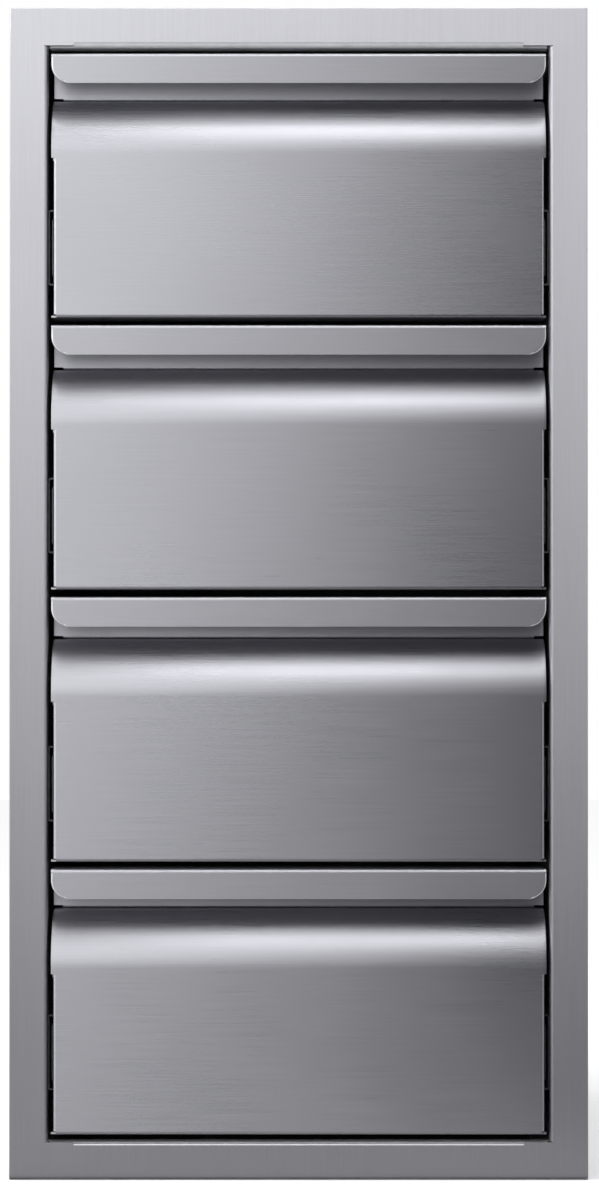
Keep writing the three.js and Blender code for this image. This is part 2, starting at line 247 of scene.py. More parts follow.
brushed = {
    "frameSteel": {"colour": (0.515, 0.513, 0.55), "rough": 0.46, "anisotropy": 0.85, "grain": "Z"},
    "frontSteel": {"colour": (0.462, 0.462, 0.5), "rough": 0.29, "anisotropy": 0.95, "grain": "X"},
    "handleSteel": {"colour": (0.473, 0.473, 0.51), "rough": 0.38, "anisotropy": 0.75, "grain": "X",
                    "paintedLightInside": 1.55},
    "panelSteel": {"colour": (0.47, 0.47, 0.48), "rough": 0.6, "anisotropy": 0.4, "grain": "Z"},
    "traySteel": {"colour": (0.50, 0.50, 0.515), "rough": 0.36, "anisotropy": 0.5, "grain": "X"},
}
grainLines = {"scale": 1300, "detail": 4, "along": 0.012, "fade": 0.6, "stops": (0.3, 0.7), "spread": 0.045}
grainClouds = {"scale": 9, "detail": 2}
grainRough = {"low": 0.6, "high": 1.4, "spread": 0.04}
grainTurn = {"quarter": 0.25, "tilt": 0.02}
scratches = {"strength": 0.06, "depth": 0.0004}
# painted light: the depths over which the handle's base colour is made brighter, where it lies in the lip's shade
paintedLightDepths = (0.02, 0.03)  # behind the front, where the handle's back grows brighter


def startMaterial(name):
    material = bpy.data.materials.new(name)
    material.use_nodes = True
    nodes, links = material.node_tree.nodes, material.node_tree.links
    return material, nodes, links, nodes["Principled BSDF"]


def addNoise(nodes, links, place, scale, detail):
    noise = nodes.new("ShaderNodeTexNoise")
    noise.inputs["Scale"].default_value = scale
    noise.inputs["Detail"].default_value = detail
    links.new(place, noise.inputs["Vector"])
    return noise


# Makes the colour a little darker and lighter by the noise.
def addTone(nodes, links, noise, colour, spread, stops):
    tone = nodes.new("ShaderNodeValToRGB")
    for stop, position, sign in zip(tone.color_ramp.elements, stops, (-1, 1)):
        stop.position = position
        stop.color = (*(channel * (1 + sign * spread) for channel in colour), 1)
    links.new(noise.outputs["Fac"], tone.inputs["Fac"])
    return tone


# Stretches a value's range to another one.
def addRange(nodes, links, value, inside, outside):
    share = nodes.new("ShaderNodeMapRange")
    share.inputs["From Min"].default_value, share.inputs["From Max"].default_value = inside
    share.inputs["To Min"].default_value, share.inputs["To Max"].default_value = outside
    links.new(value, share.inputs["Value"])
    return share


def brushedSteel(name, look):
    material, nodes, links, shader = startMaterial(name)
    shader.inputs["Metallic"].default_value = 1
    shader.inputs["Anisotropic"].default_value = look["anisotropy"]
    shader.inputs["Anisotropic Rotation"].default_value = grainTurn["quarter"]
    place = nodes.new("ShaderNodeTexCoord")
    stretch = nodes.new("ShaderNodeMapping")
    alongX = look["grain"] == "X"
    along = grainLines["along"]
    stretch.inputs["Scale"].default_value = (along, 1, 1) if alongX else (1, 1, along)
    links.new(place.outputs["Object"], stretch.inputs["Vector"])
    lines = addNoise(nodes, links, stretch.outputs["Vector"], grainLines["scale"], grainLines["detail"])
    lines.inputs["Roughness"].default_value = grainLines["fade"]
    clouds = addNoise(nodes, links, place.outputs["Object"], grainClouds["scale"], grainClouds["detail"])
    tone = addTone(nodes, links, lines, look["colour"], grainLines["spread"], grainLines["stops"])
    links.new(tone.outputs["Color"], shader.inputs["Base Color"])
    both = nodes.new("ShaderNodeMath")
    both.operation = "ADD"
    links.new(lines.outputs["Fac"], both.inputs[0])
    links.new(clouds.outputs["Fac"], both.inputs[1])
    spread = grainRough["spread"]
    rough = addRange(nodes, links, both.outputs["Value"], (grainRough["low"], grainRough["high"]),
                     (look["rough"] - spread, look["rough"] + spread))
    links.new(rough.outputs["Result"], shader.inputs["Roughness"])
    if "paintedLightInside" in look:
        # painted light: the base colour grows brighter at the back of the handle, which lies in the lip's shade
        depth = nodes.new("ShaderNodeSeparateXYZ")
        links.new(place.outputs["Object"], depth.inputs[0])
        inside = addRange(nodes, links, depth.outputs["Y"], [cadLow.y + behind for behind in paintedLightDepths],
                          (1, look["paintedLightInside"]))
        paintedLightColour = nodes.new("ShaderNodeVectorMath")
        paintedLightColour.operation = "SCALE"
        links.new(tone.outputs["Color"], paintedLightColour.inputs[0])
        links.new(inside.outputs["Result"], paintedLightColour.inputs["Scale"])
        links.new(paintedLightColour.outputs["Vector"], shader.inputs["Base Color"])
    scratch = nodes.new("ShaderNodeBump")
    scratch.inputs["Strength"].default_value = scratches["strength"]
    scratch.inputs["Distance"].default_value = scratches["depth"]
    links.new(lines.outputs["Fac"], scratch.inputs["Height"])
    links.new(scratch.outputs["Normal"], shader.inputs["Normal"])
    # the grain's own direction on each face, so that it runs on round the folds
    surface = nodes.new("ShaderNodeNewGeometry")
    around = nodes.new("ShaderNodeVectorMath")
    around.operation = "CROSS_PRODUCT"
    around.inputs[0].default_value = (0, 0, 1) if alongX else (1, 0, 0)
    links.new(surface.outputs["Normal"], around.inputs[1])
    grain = nodes.new("ShaderNodeVectorMath")
    grain.operation = "ADD"
    tilt = grainTurn["tilt"]
    grain.inputs[1].default_value = (tilt, 0, 0) if alongX else (0, 0, -tilt)
    links.new(around.outputs["Vector"], grain.inputs[0])
    links.new(grain.outputs["Vector"], shader.inputs["Tangent"])
    return material


# Patchy finishes: zinc plate on the slides, the sheet's own matt finish in a pale colour and a half matt one, which
# paint light into the frame's shaded returns and fold, a pale finish that paints a highlight on the lip's ground edges,
# and rubber

patchDetail = 3
patchy = {
    "railZinc": {"colour": (0.36, 0.375, 0.39), "spread": 0.13, "scale": 260, "stops": (0.35, 0.65),
                 "metallic": 1, "rough": 0.38, "roughSpread": 0.06},
    "cageZinc": {"colour": (0.36, 0.37, 0.38), "spread": 0.13, "scale": 260, "stops": (0.35, 0.65),
                 "metallic": 1, "rough": 0.3, "roughSpread": 0.06},
    "mattPaintedLight": {"colour": (0.82, 0.82, 0.84), "spread": 0.06, "scale": 160, "stops": (0.3, 0.7),
             "metallic": 0.2, "rough": 0.55},
    "halfMattPaintedLight": {"colour": (0.68, 0.68, 0.7), "spread": 0.06, "scale": 160, "stops": (0.3, 0.7),
               "metallic": 0.6, "rough": 0.55},
    "groundPaintedHighlight": {"colour": (0.9, 0.9, 0.92), "spread": 0.06, "scale": 160, "stops": (0.3, 0.7),
               "metallic": 0.8, "rough": 0.55},
    "rubber": {"colour": (0.022, 0.022, 0.023), "spread": 0.3, "scale": 420, "stops": (0.35, 0.7),
               "metallic": 0, "rough": 0.65},
}


def patchyFinish(name, look):
    material, nodes, links, shader = startMaterial(name)
    shader.inputs["Metallic"].default_value = look["metallic"]
    shader.inputs["Roughness"].default_value = look["rough"]
    place = nodes.new("ShaderNodeTexCoord")
    patches = addNoise(nodes, links, place.outputs["Object"], look["scale"], patchDetail)
    tone = addTone(nodes, links, patches, look["colour"], look["spread"], look["stops"])
    links.new(tone.outputs["Color"], shader.inputs["Base Color"])
    if "roughSpread" in look:
        ends = [look["rough"] + sign * look["roughSpread"] for sign in (-1, 1)]
        rough = addRange(nodes, links, patches.outputs["Fac"], (0, 1), ends)
        links.new(rough.outputs["Result"], shader.inputs["Roughness"])
    return material


finishes = {name: brushedSteel(name, look) for name, look in brushed.items()}
for name, look in patchy.items():
    finishes[name] = patchyFinish(name, look)
print("finishes ready")


# A finished piece takes its material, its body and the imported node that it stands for.
def hangUp(piece, material, body, node=None):
    piece.data.materials.clear()
    piece.data.materials.append(finishes[material])
    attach(piece, body)
    if node:
        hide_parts(node)


# Face frame: a plate with a square opening. Its outer edges are folded back all round. The opening's edges are
# folded back too, but above and below they stop short of the corners, where the plate keeps a raw edge. A negative
# rawEdge reaches into the opening, past the fold. The end folds are given below (-1) and above (1) the opening.
# The slopes are shares of Z in a face's normal: where the returns get a pale matt finish and where the fold above gets
# a half matt one, both of which paint light into their shade.

faceFrame = {
    "bar": 0.022,
    "sheet": 0.0015,
    "fold": 0.0016,
    "endFolds": {-1: 0.0016, 1: 0.0028},
    "outerReturn": 0.006,
    "outerEdge": 0.0006,
    "outerSteps": 4,
    "footEdge": 0.0015,
    "footSteps": 5,
    "innerReturn": 0.020,
    "relief": 0.016,
    "rawEdge": -0.0003,
    "tabGap": 0.0003,
    "notch": 0.0009,
    "edge": 0.00015,
    "paintedLightFrom": 0.0014,
    "paintedLightSlope": 0.95,
    "halfMattPaintedSlopes": (-0.99, -0.15),
}


def makeFaceFrame():
    look = faceFrame
    low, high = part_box("face_frame")
    front, fold = low.y, look["fold"]
    innerX = high.x - look["bar"]
    ends = {-1: low.z + look["bar"], 1: high.z - look["bar"]}
    reliefX = innerX - look["relief"]
    plate = addSheet("frame_visual", (low.x, front, low.z), (high.x, front, high.z))
    bpy.ops.mesh.select_mode(type="FACE")
    bpy.ops.mesh.select_all(action="SELECT")
    bpy.ops.mesh.inset(thickness=look["bar"] - fold)
    bpy.ops.mesh.delete(type="FACE")
    for x in (-reliefX, reliefX):
        cutAt((x, 0, 0), (1, 0, 0))
    for sign, z in ends.items():
        cutAt((0, 0, z - sign * look["notch"]), (0, 0, 1))
    # opening, left and right
    for sign in (-1, 1):
        edgeX = sign * (innerX + fold)
        pickEdges(lambda middle, along: near(middle.x, edgeX) and runs(along.z)
                  and ends[-1] + look["notch"] < middle.z < ends[1] - look["notch"])
        carryOn((edgeX, front, 0), (-sign, 0, 0), (0, 0, sign), [(0, fold), (look["innerReturn"] - fold, 0)])
    # opening, above and below: the fold, the tabs beside it and the raw edges in front of them
    for sign, z in ends.items():
        edgeZ, bend = z + sign * fold, look["endFolds"][sign]
        foldedZ = edgeZ - sign * bend
        pickEdges(lambda middle, along: near(middle.z, edgeZ) and abs(middle.x) < reliefX and near(middle.y, front))
        carryOn((0, front, edgeZ), (0, 0, -sign), (-sign, 0, 0), [(0, bend), (look["innerReturn"] - bend, 0)])
        for side in (-1, 1):
            pickEdges(lambda middle, along: near(middle.z, foldedZ) and near(middle.x, side * reliefX)
                      and runs(along.y))
            slideEdge(x=side * (look["relief"] - look["sheet"] - look["tabGap"]))
            pickEdges(lambda middle, along: near(middle.z, edgeZ) and near(middle.y, front)
                      and reliefX < side * middle.x < innerX + fold)
            slideEdge(z=-sign * (fold - look["rawEdge"]))
    # outer edges, mitred at the corners and only lightly rounded but for the lowest
    atRim = lambda middle: near(abs(middle.x), high.x) or near(middle.z, low.z) or near(middle.z, high.z)
    pickEdges(lambda middle, along: atRim(middle))
    slideEdge(y=look["outerReturn"])
    faceSheet((0, -1, 0))
    thicken(plate, look["sheet"])
    pickObject(plate)
    bpy.ops.object.mode_set(mode="EDIT")
    pickEdges(lambda middle, along: near(middle.z, low.z) and near(middle.y, front))
    bpy.ops.mesh.bevel(offset=look["footEdge"], segments=look["footSteps"], profile=0.5, affect="EDGES")
    pickEdges(lambda middle, along: middle.y < front + look["footEdge"] and abs(along.y) < straight
              and (near(abs(middle.x), high.x) or near(middle.z, high.z)))
    bpy.ops.mesh.bevel(offset=look["outerEdge"], segments=look["outerSteps"], profile=0.5, affect="EDGES")
    bpy.ops.object.mode_set(mode="OBJECT")
    softenEdges(plate, look["edge"])
    # the softening leaves two inner corners a trace proud of the face
    bpy.ops.object.mode_set(mode="EDIT")
    pickVertices(lambda at: at.y < front)
    bpy.ops.transform.resize(value=(1, 0, 1), center_override=(0, front, 0))
    bpy.ops.object.mode_set(mode="OBJECT")
    return plate


# Box behind the frame: two side panels, a top, a bottom and a back

boxPanel = {
    "sheet": 0.0012,
    "fold": 0.0024,
    "flange": 0.012,
    "flangeStart": 0.0185,
    "hookGap": 0.0003,
    "backCorner": 0.005,
    "cornerSteps": 8,
    "edge": 0.00015,
}


def makeSidePanel(sideName):
    look, side = boxPanel, sides[sideName]
    node = f"{sideName}_side_panel"
    low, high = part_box(node)
    fold, sheet, flange = look["fold"], look["sheet"], look["flange"]
    innerFold = fold - sheet
    face = side * (max(abs(low.x), abs(high.x)) - flange)
    web = addSheet(
        f"{sideName}_panel_visual",
        (face, low.y + fold, low.z + fold),
        (face, high.y - sheet - innerFold, high.z - fold),
    )
    flangeStart = low.y + look["flangeStart"]
    cutAt((0, flangeStart, 0), (0, 1, 0))
    pickEdges(lambda middle, along: near(middle.y, low.y + fold))
    carryOn((face, low.y + fold, 0), (0, -1, 0), (0, 0, -side), [(0, fold), (flange - fold, 0)])
    pickEdges(lambda middle, along: near(middle.y, high.y - sheet - innerFold))
    carryOn((face, high.y - sheet - innerFold, 0), (0, 1, 0), (0, 0, -side), [(0, innerFold), (flange - innerFold, 0)])
    for sign, z in ((-1, low.z + fold), (1, high.z - fold)):
        pickEdges(lambda middle, along: near(middle.z, z) and near(middle.x, face) and middle.y > flangeStart
                  and runs(along.y))
        carryOn((face, 0, z), (0, 0, sign), (0, sign * side, 0), [(0, innerFold), (flange - innerFold, 0)])
    faceSheet((-side, 0, 0))
    thicken(web, sheet)
    softenEdges(web, look["edge"])
    return web


def makeEndPanel(name, node, up):
    look = boxPanel
    low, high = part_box(node)
    fold, sheet, flange = look["fold"], look["sheet"], look["flange"]
    innerFold = fold - sheet
    plane = high.z - flange if up > 0 else low.z + flange
    webEnd = high.y - sheet - innerFold
    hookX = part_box("right_side_panel")[0].x - look["hookGap"]
    web = addSheet(name, (low.x, low.y + fold, plane), (high.x, webEnd, plane))
    for x in (-hookX, hookX):
        cutAt((x, 0, 0), (1, 0, 0))
    pickEdges(lambda middle, along: near(middle.y, low.y + fold))
    carryOn((0, low.y + fold, plane), (0, -1, 0), (up, 0, 0), [(0, fold), (flange - fold, 0)])
    pickEdges(lambda middle, along: near(middle.y, webEnd) and abs(middle.x) < hookX)
    carryOn((0, webEnd, plane), (0, 1, 0), (up, 0, 0), [(0, innerFold), (flange - innerFold, 0)])
    faceSheet((0, 0, -up))
    thicken(web, sheet)
    softenEdges(web, look["edge"])
    return web


def makeBackPanel():
    look = boxPanel
    low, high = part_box("back_panel")
    web = addSheet("back_panel_visual", (low.x, high.y, low.z), (high.x, high.y, high.z))
    roundVertices(lambda at: True, look["backCorner"], look["cornerSteps"])
    faceSheet((0, 1, 0))
    thicken(web, look["sheet"])
    softenEdges(web, look["edge"])
    return web


# Handle: lip, top, back wall and the flange under it, bent from one strip

handle = {
    "lipHeight": 0.0177,
    "lipCorner": 0.011,
    "cornerSteps": 14,
    "lipFold": 0.0021,
    "wallFold": 0.002,
    "footFold": 0.0015,
    "foldSteps": 8,
    "sheet": 0.0012,
    "recess": 0.033,
    "flange": 0.012,
    "flangeInset": 0.0055,
    "slit": 0.0004,
    "groundEdge": 0.0011,
    "groundSteps": 4,
    "groundTurn": 0.98,
    # the slopes of the lip's ground faces that take the painted highlight
    "paintedHighlightSlopes": (-0.97, 0.2),
    "edge": 0.00015,
}


def makeHandle():
    look = handle
    low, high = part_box("drawer_1_handle_channel")
    front, sheet = low.y, look["sheet"]
    footBend = look["footFold"] - sheet
    wallBack = front + look["recess"] + sheet
    lipFoot, lipHead = high.z - look["lipHeight"], high.z - look["lipFold"]
    wallFoot = low.z + look["footFold"]
    strip = addSheet("handle_1", (low.x, front, lipFoot), (high.x, front, lipHead))
    roundVertices(lambda at: near(at.z, lipFoot), look["lipCorner"], look["cornerSteps"])
    pickEdges(lambda middle, along: near(middle.z, lipHead))
    topRun = look["recess"] + sheet - look["lipFold"] - look["wallFold"]
    path = [(0, look["lipFold"]), (topRun, look["wallFold"]), (high.z - look["wallFold"] - wallFoot, 0)]
    carryOn((0, front, lipHead), (0, 0, 1), (1, 0, 0), path, look["foldSteps"])
    # only the middle of the wall's foot is bent back: a slit parts it from the ends, which stop short
    inset = high.x - look["flangeInset"]
    for x in (-inset - look["slit"], -inset, inset, inset + look["slit"]):
        pickFaces(lambda middle, normal: near(middle.y, wallBack) and abs(normal.y) > straight)
        bpy.ops.mesh.bisect(plane_co=(x, 0, 0), plane_no=(1, 0, 0))
    atFoot = lambda middle: near(middle.z, wallFoot) and near(middle.y, wallBack)
    pickEdges(lambda middle, along: atFoot(middle) and abs(middle.x) < inset and runs(along.x))
    path = [(0, -footBend), (look["flange"] - footBend, 0)]
    carryOn((0, wallBack, wallFoot), (0, 0, -1), (1, 0, 0), path, look["foldSteps"])
    faceSheet((0, 0, 1))
    thicken(strip, sheet)
    # the lip's ends are ground round, and its lower corners where the share of X along their edge is below groundTurn
    pickObject(strip)
    bpy.ops.object.mode_set(mode="EDIT")
    pickEdges(lambda middle, along: near(middle.y, front) and isSquare(along.y) and middle.z < lipHead
              and (near(abs(middle.x), high.x) or (abs(middle.x) > high.x - look["lipCorner"]
                                                    and abs(along.x) < look["groundTurn"])))
    bpy.ops.mesh.bevel(offset=look["groundEdge"], segments=look["groundSteps"], profile=0.5, affect="EDGES")
    bpy.ops.object.mode_set(mode="OBJECT")
    softenEdges(strip, look["edge"])
    return strip


# Front sheet: a flat face that rolls back at the top, with its sides and foot folded back

frontSkin = {
    "roll": 0.034,
    "rollSteps": 32,
    "waist": 0.0032,
    "sideStep": 0.0011,
    "fold": 0.0018,
    "sheet": 0.0012,
    "flange": 0.014,
    "seat": 0.012,
    "edge": 0.00015,
}


def makeFrontSkin():
    look = frontSkin
    low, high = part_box("drawer_1_front_skin")
    front, fold, sheet, roll = low.y, look["fold"], look["sheet"], look["roll"]
    half = high.x - look["sideStep"]
    flatX, flatFoot = half - fold, low.z + fold
    rollStart = high.z - roll
    waist = rollStart - look["waist"]
    skin = addSheet("skin_1", (-flatX, front, flatFoot), (flatX, front, waist))
    pickEdges(lambda middle, along: near(middle.z, waist))
    carryOn((0, front, waist), (0, 0, 1), (1, 0, 0), [(look["waist"], roll), (look["seat"], 0)],
            look["rollSteps"])
    for side in (-1, 1):
        pickEdges(lambda middle, along: near(middle.x, side * flatX) and middle.z > waist and isSquare(along.x))
        slideEdge(x=side * (high.x - flatX))
    for side in (-1, 1):
        pickEdges(lambda middle, along: near(middle.x, side * flatX) and near(middle.y, front)
                  and middle.z < waist and runs(along.z))
        path = [(0, fold), (roll - 2 * fold, fold), (look["flange"] - fold, 0)]
        carryOn((side * flatX, front, 0), (side, 0, 0), (0, 0, -side), path)
    pickEdges(lambda middle, along: near(middle.z, flatFoot) and near(middle.y, front) and runs(along.x)
              and abs(middle.x) < flatX)
    carryOn((0, front, flatFoot), (0, 0, -1), (-1, 0, 0), [(0, fold), (roll - fold, 0)])
    for side in (-1, 1):
        pickEdges(lambda middle, along: near(middle.x, side * flatX) and near(middle.z, low.z) and runs(along.y))
        slideEdge(x=side * (high.x - flatX))
    faceSheet((0, -1, 0))
    thicken(skin, sheet)
    softenEdges(skin, look["edge"])
    cheeks = [makeCheek(side, side * (half - sheet / 2), front + roll, rollStart, waist - fold) for side in (-1, 1)]
    return joinPieces(skin, *cheeks)


# The folded side is carried up inside the roll and closes its end.
def makeCheek(side, x, y, z, foot):
    look = frontSkin
    clearSelection()
    bpy.ops.mesh.primitive_circle_add(
        vertices=4 * look["rollSteps"], radius=look["roll"] - look["sheet"] / 2, fill_type="NGON",
        location=(x, y, z), rotation=(0, radians(90), 0),
    )
    cheek = bpy.context.object
    bpy.ops.object.transform_apply(location=True, rotation=True, scale=True)
    bpy.ops.object.mode_set(mode="EDIT")
    bpy.ops.mesh.select_all(action="SELECT")
    bpy.ops.mesh.bisect(plane_co=(x, y, z), plane_no=(0, 1, 0), clear_outer=True)
    bpy.ops.mesh.select_all(action="SELECT")
    bpy.ops.mesh.bisect(plane_co=(x, y, z), plane_no=(0, 0, 1), clear_inner=True)
    pickEdges(lambda middle, along: near(middle.z, z) and runs(along.y))
    slideEdge(z=foot - z)
    faceSheet((side, 0, 0))
    thicken(cheek, look["sheet"], offset=0)
    softenEdges(cheek, look["edge"])
    return cheek


# Tray: floor, sides and rolled rims from one sheet, between a front wall and a rear wall

tray = {
    "sheet": 0.001,
    "fold": 0.002,
    "sideHeight": 0.102,
    "rim": 0.008,
    "rimDrop": 0.007,
    "wallCorner": 0.008,
    "hem": 0.006,
    "rearSteps": 6,
    "edge": 0.00015,
}


def makeTray():
    look = tray
    low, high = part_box("drawer_1_tray")
    fold, sheet = look["fold"], look["sheet"]
    floorX = high.x - fold
    rimTop = low.z + look["sideHeight"]
    trough = addSheet("tray_1", (-floorX, low.y + sheet / 2, low.z), (floorX, high.y - sheet / 2, low.z))
    for side in (-1, 1):
        pickEdges(lambda middle, along: near(middle.x, side * floorX))
        path = [
            (0, fold),
            (look["sideHeight"] - 2 * fold, fold),
            (look["rim"] - 2 * fold, fold),
            (look["rimDrop"] - fold, 0),
        ]
        carryOn((side * floorX, 0, low.z), (side, 0, 0), (0, side, 0), path)
    faceSheet((0, 0, -1))
    thicken(trough, sheet)
    softenEdges(trough, look["edge"])
    frontWall = addSheet("tray_front", (low.x, low.y, low.z), (high.x, low.y, high.z))
    roundVertices(lambda at: True, look["wallCorner"])
    faceSheet((0, -1, 0))
    thicken(frontWall, sheet)
    softenEdges(frontWall, look["edge"])
    rearWall = addSheet("tray_rear", (low.x, high.y, low.z), (high.x, high.y, rimTop - fold))
    roundVertices(lambda at: near(at.z, low.z), look["fold"], look["rearSteps"])
    pickEdges(lambda middle, along: near(middle.z, rimTop - fold))
    carryOn((0, high.y, rimTop - fold), (0, 0, 1), (-1, 0, 0), [(0, fold), (look["hem"] - fold, 0)])
    faceSheet((0, 1, 0))
    thicken(rearWall, sheet)
    softenEdges(rearWall, look["edge"])
    return joinPieces(trough, frontWall, rearWall)


# Slides: three channels of rolled steel, one in the other, and the ball cages between them

rails = {
    "cabinet_rail": {"sheet": 0.0012, "lip": 0.0022, "opens": "inwards"},
    "middle_rail": {"sheet": 0.001, "lip": 0.0019, "opens": "inwards"},
    "drawer_rail": {"sheet": 0.0012, "lip": 0, "opens": "outwards"},
}
rolling = {"bend": 0.0016, "bendSteps": 4, "edge": 0.0001, "edgeSteps": 1}
cages = {
    "outer_ball_cage": {"ballRadius": 0.00195, "sheet": 0.0006},
    "inner_ball_cage": {"ballRadius": 0.0019, "sheet": 0.0006},
}
cageBalls = {"perArm": 10, "fromEnd": 0.014, "roundness": 2}


def makeChannel(name, low, high, opens, bendRadius, sheet, lip):
    webX = high.x if opens < 0 else low.x
    depth = high.x - low.x
    lowZ, highZ = low.z + bendRadius, high.z - bendRadius
    web = addSheet(name, (webX, low.y, lowZ), (webX, high.y, highZ))
    for up, z in ((-1, lowZ), (1, highZ)):
        pickEdges(lambda middle, along: near(middle.z, z) and runs(along.y))
        path = [(0, bendRadius), (depth - bendRadius, 0)]
        if lip:
            path = [(0, bendRadius), (depth - 2 * bendRadius, bendRadius), (lip + sheet - bendRadius, 0)]
        carryOn((webX, 0, z), (0, 0, up), (0, -up * opens, 0), path, rolling["bendSteps"])
    faceSheet((-opens, 0, 0))
    thicken(web, sheet)
    softenEdges(web, rolling["edge"], rolling["edgeSteps"])
    return web


def makeRail(part, sideName):
    look, side = rails[part], sides[sideName]
    low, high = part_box(f"drawer_1_{sideName}_{part}")
    opens = side if look["opens"] == "outwards" else -side
    return makeChannel(f"{part}_{sideName}", low, high, opens, rolling["bend"], look["sheet"], look["lip"])


def makeCage(part, sideName):
    look, side = cages[part], sides[sideName]
    low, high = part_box(f"drawer_1_{sideName}_{part}")
    radius, sheet = look["ballRadius"], look["sheet"]
    armInset = radius - sheet / 2
    armLow, armHigh = low + Vector((0, 0, armInset)), high - Vector((0, 0, armInset))
    channel = makeChannel(f"{part}_{sideName}", armLow, armHigh, -side, sheet, sheet, 0)
    ballX = (low.x + high.x - side * sheet) / 2
    step = (high.y - low.y - 2 * cageBalls["fromEnd"]) / (cageBalls["perArm"] - 1)
    rows = []
    for z in (low.z + radius, high.z - radius):
        clearSelection()
        bpy.ops.mesh.primitive_ico_sphere_add(
            subdivisions=cageBalls["roundness"], radius=radius, location=(ballX, low.y + cageBalls["fromEnd"], z)
        )
        ball = bpy.context.object
        bpy.ops.object.transform_apply(location=True, rotation=True, scale=True)
        bpy.ops.object.modifier_add(type="ARRAY")
        row = ball.modifiers[-1]
        row.count = cageBalls["perArm"]
        row.use_relative_offset = False
        row.use_constant_offset = True
        row.constant_offset_displace = (0, step, 0)
        bpy.ops.object.modifier_apply(modifier=row.name)
        bpy.ops.object.shade_smooth()
        rows.append(ball)
    return joinPieces(channel, *rows)


# Screws: pan heads with a round socket, which hold the slides to the trays and to the box

screw = {
    "radius": 0.0034,
    "height": 0.0014,
    "sides": 24,
    "socket": 0.0015,
    "socketDepth": 0.0009,
    "edge": 0.0006,
    "edgeSteps": 3,
    "rim": 0.9,  # share of the radius beyond which an edge is at the rim
}
screwShares = (0.08, 0.5, 0.92)


def makeScrew(name, place, side):
    look = screw
    clearSelection()
    middle = Vector(place) + Vector((side * look["height"] / 2, 0, 0))
    bpy.ops.mesh.primitive_cylinder_add(
        vertices=look["sides"], radius=look["radius"], depth=look["height"],
        location=middle, rotation=(0, radians(90 * side), 0),
    )
    head = bpy.context.object
    head.name = name
    bpy.ops.object.transform_apply(location=True, rotation=True, scale=True)
    bpy.ops.object.mode_set(mode="EDIT")
    pickFaces(lambda middle, normal: normal.x * side > straight)
    bpy.ops.mesh.inset(thickness=look["radius"] - look["socket"])
    slideEdge(x=-side * look["socketDepth"])
    outer = place[0] + side * look["height"]
    pickEdges(lambda middle, along: near(middle.x, outer)
              and (middle - Vector((outer, place[1], place[2]))).length > look["radius"] * look["rim"])
    bpy.ops.mesh.bevel(offset=look["edge"], segments=look["edgeSteps"], profile=0.5, affect="EDGES")
    bpy.ops.object.mode_set(mode="OBJECT")
    bpy.ops.object.shade_smooth_by_angle(angle=radians(softening["smoothAngle"]))
    return head


def slideScrews(name, sideName, wallX, side):
    low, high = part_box(f"drawer_1_{sideName}_cabinet_rail")
    z = (low.z + high.z) / 2
    heads = [
        makeScrew(name, (wallX, low.y + share * (high.y - low.y), z), side)
        for share in screwShares
    ]
    return joinPieces(*heads)


# Rubber stop behind the moving rails: a block with a tongue that lies in the cabinet rail

rubberStop = {
    "height": 0.022,
    "width": 0.0078,
    "depth": 0.007,
    "behind": 0.0004,
    "tongue": 0.0008,
    "tongueLength": 0.013,
    "tongueHeight": 0.014,
    "edge": 0.0003,
}


def makeStop(sideName):
    look, side = rubberStop, sides[sideName]
    low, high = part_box(f"drawer_1_{sideName}_cabinet_rail")
    webX = side * (max(abs(low.x), abs(high.x)) - rails["cabinet_rail"]["sheet"])
    middleZ = (low.z + high.z) / 2
    foot, head = middleZ - look["height"] / 2, middleZ + look["height"] / 2
    front = high.y + look["behind"]
    stop = addSheet(f"stop_{sideName}", (webX, front, foot), (webX, front + look["depth"], head))
    bpy.ops.mesh.select_all(action="SELECT")
    slideEdge(x=-side * look["width"])
    cutAt((webX - side * look["tongue"], 0, 0), (1, 0, 0))
    for sign in (-1, 1):
        cutAt((0, 0, middleZ + sign * look["tongueHeight"] / 2), (0, 0, 1))
    pickFaces(lambda middle, normal: near(middle.y, front) and abs(middle.x - webX) < look["tongue"]
              and near(middle.z, middleZ))
    slideEdge(y=-look["tongueLength"] - look["behind"])
    bpy.ops.mesh.select_all(action="SELECT")
    bpy.ops.mesh.normals_make_consistent(inside=False)
    bpy.ops.object.mode_set(mode="OBJECT")
    softenEdges(stop, look["edge"])
    return stop


# Building it all, each repeated piece once and then copied down the column

footZ = [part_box(f"{drawer}_front_skin")[0].z for drawer in drawerNames]
drops = [(0, 0, z - footZ[0]) for z in footZ]


def repeatDown(piece, nameFor, hang):
    for index, drawer in enumerate(drawerNames):
        if index:
            hang(copyPiece(piece, nameFor(drawer), drops[index]), drawer)
    piece.name = nameFor(drawerNames[0])
    hang(piece, drawerNames[0])


# The returns above and below the opening keep the matt finish of the sheet as it comes from the mill, from a given
# depth behind the face, in a pale colour that paints light into their shade. The upper one's fold gets a half matt
# finish that paints light there too.
def paintLightOnReturns(plate):
    low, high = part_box("face_frame")
    look = faceFrame
    upperEdge, foldDepth = high.z - look["bar"], look["endFolds"][1]
    steepest, flattest = look["halfMattPaintedSlopes"]
    inOpening = lambda middle: abs(middle.x) < high.x - look["bar"]
    pickObject(plate)
    bpy.ops.object.mode_set(mode="EDIT")
    for index, finish, test in (
        (1, "mattPaintedLight", lambda middle, normal: inOpening(middle) and middle.y > low.y + look["paintedLightFrom"]
            and abs(normal.z) > look["paintedLightSlope"]),
        (2, "halfMattPaintedLight", lambda middle, normal: inOpening(middle) and abs(middle.z - upperEdge) < foldDepth
            and low.y < middle.y < low.y + foldDepth and steepest < normal.z < flattest),
    ):
        plate.data.materials.append(finishes[finish])
        plate.active_material_index = index
        pickFaces(test)
        bpy.ops.object.material_slot_assign()
    bpy.ops.object.mode_set(mode="OBJECT")


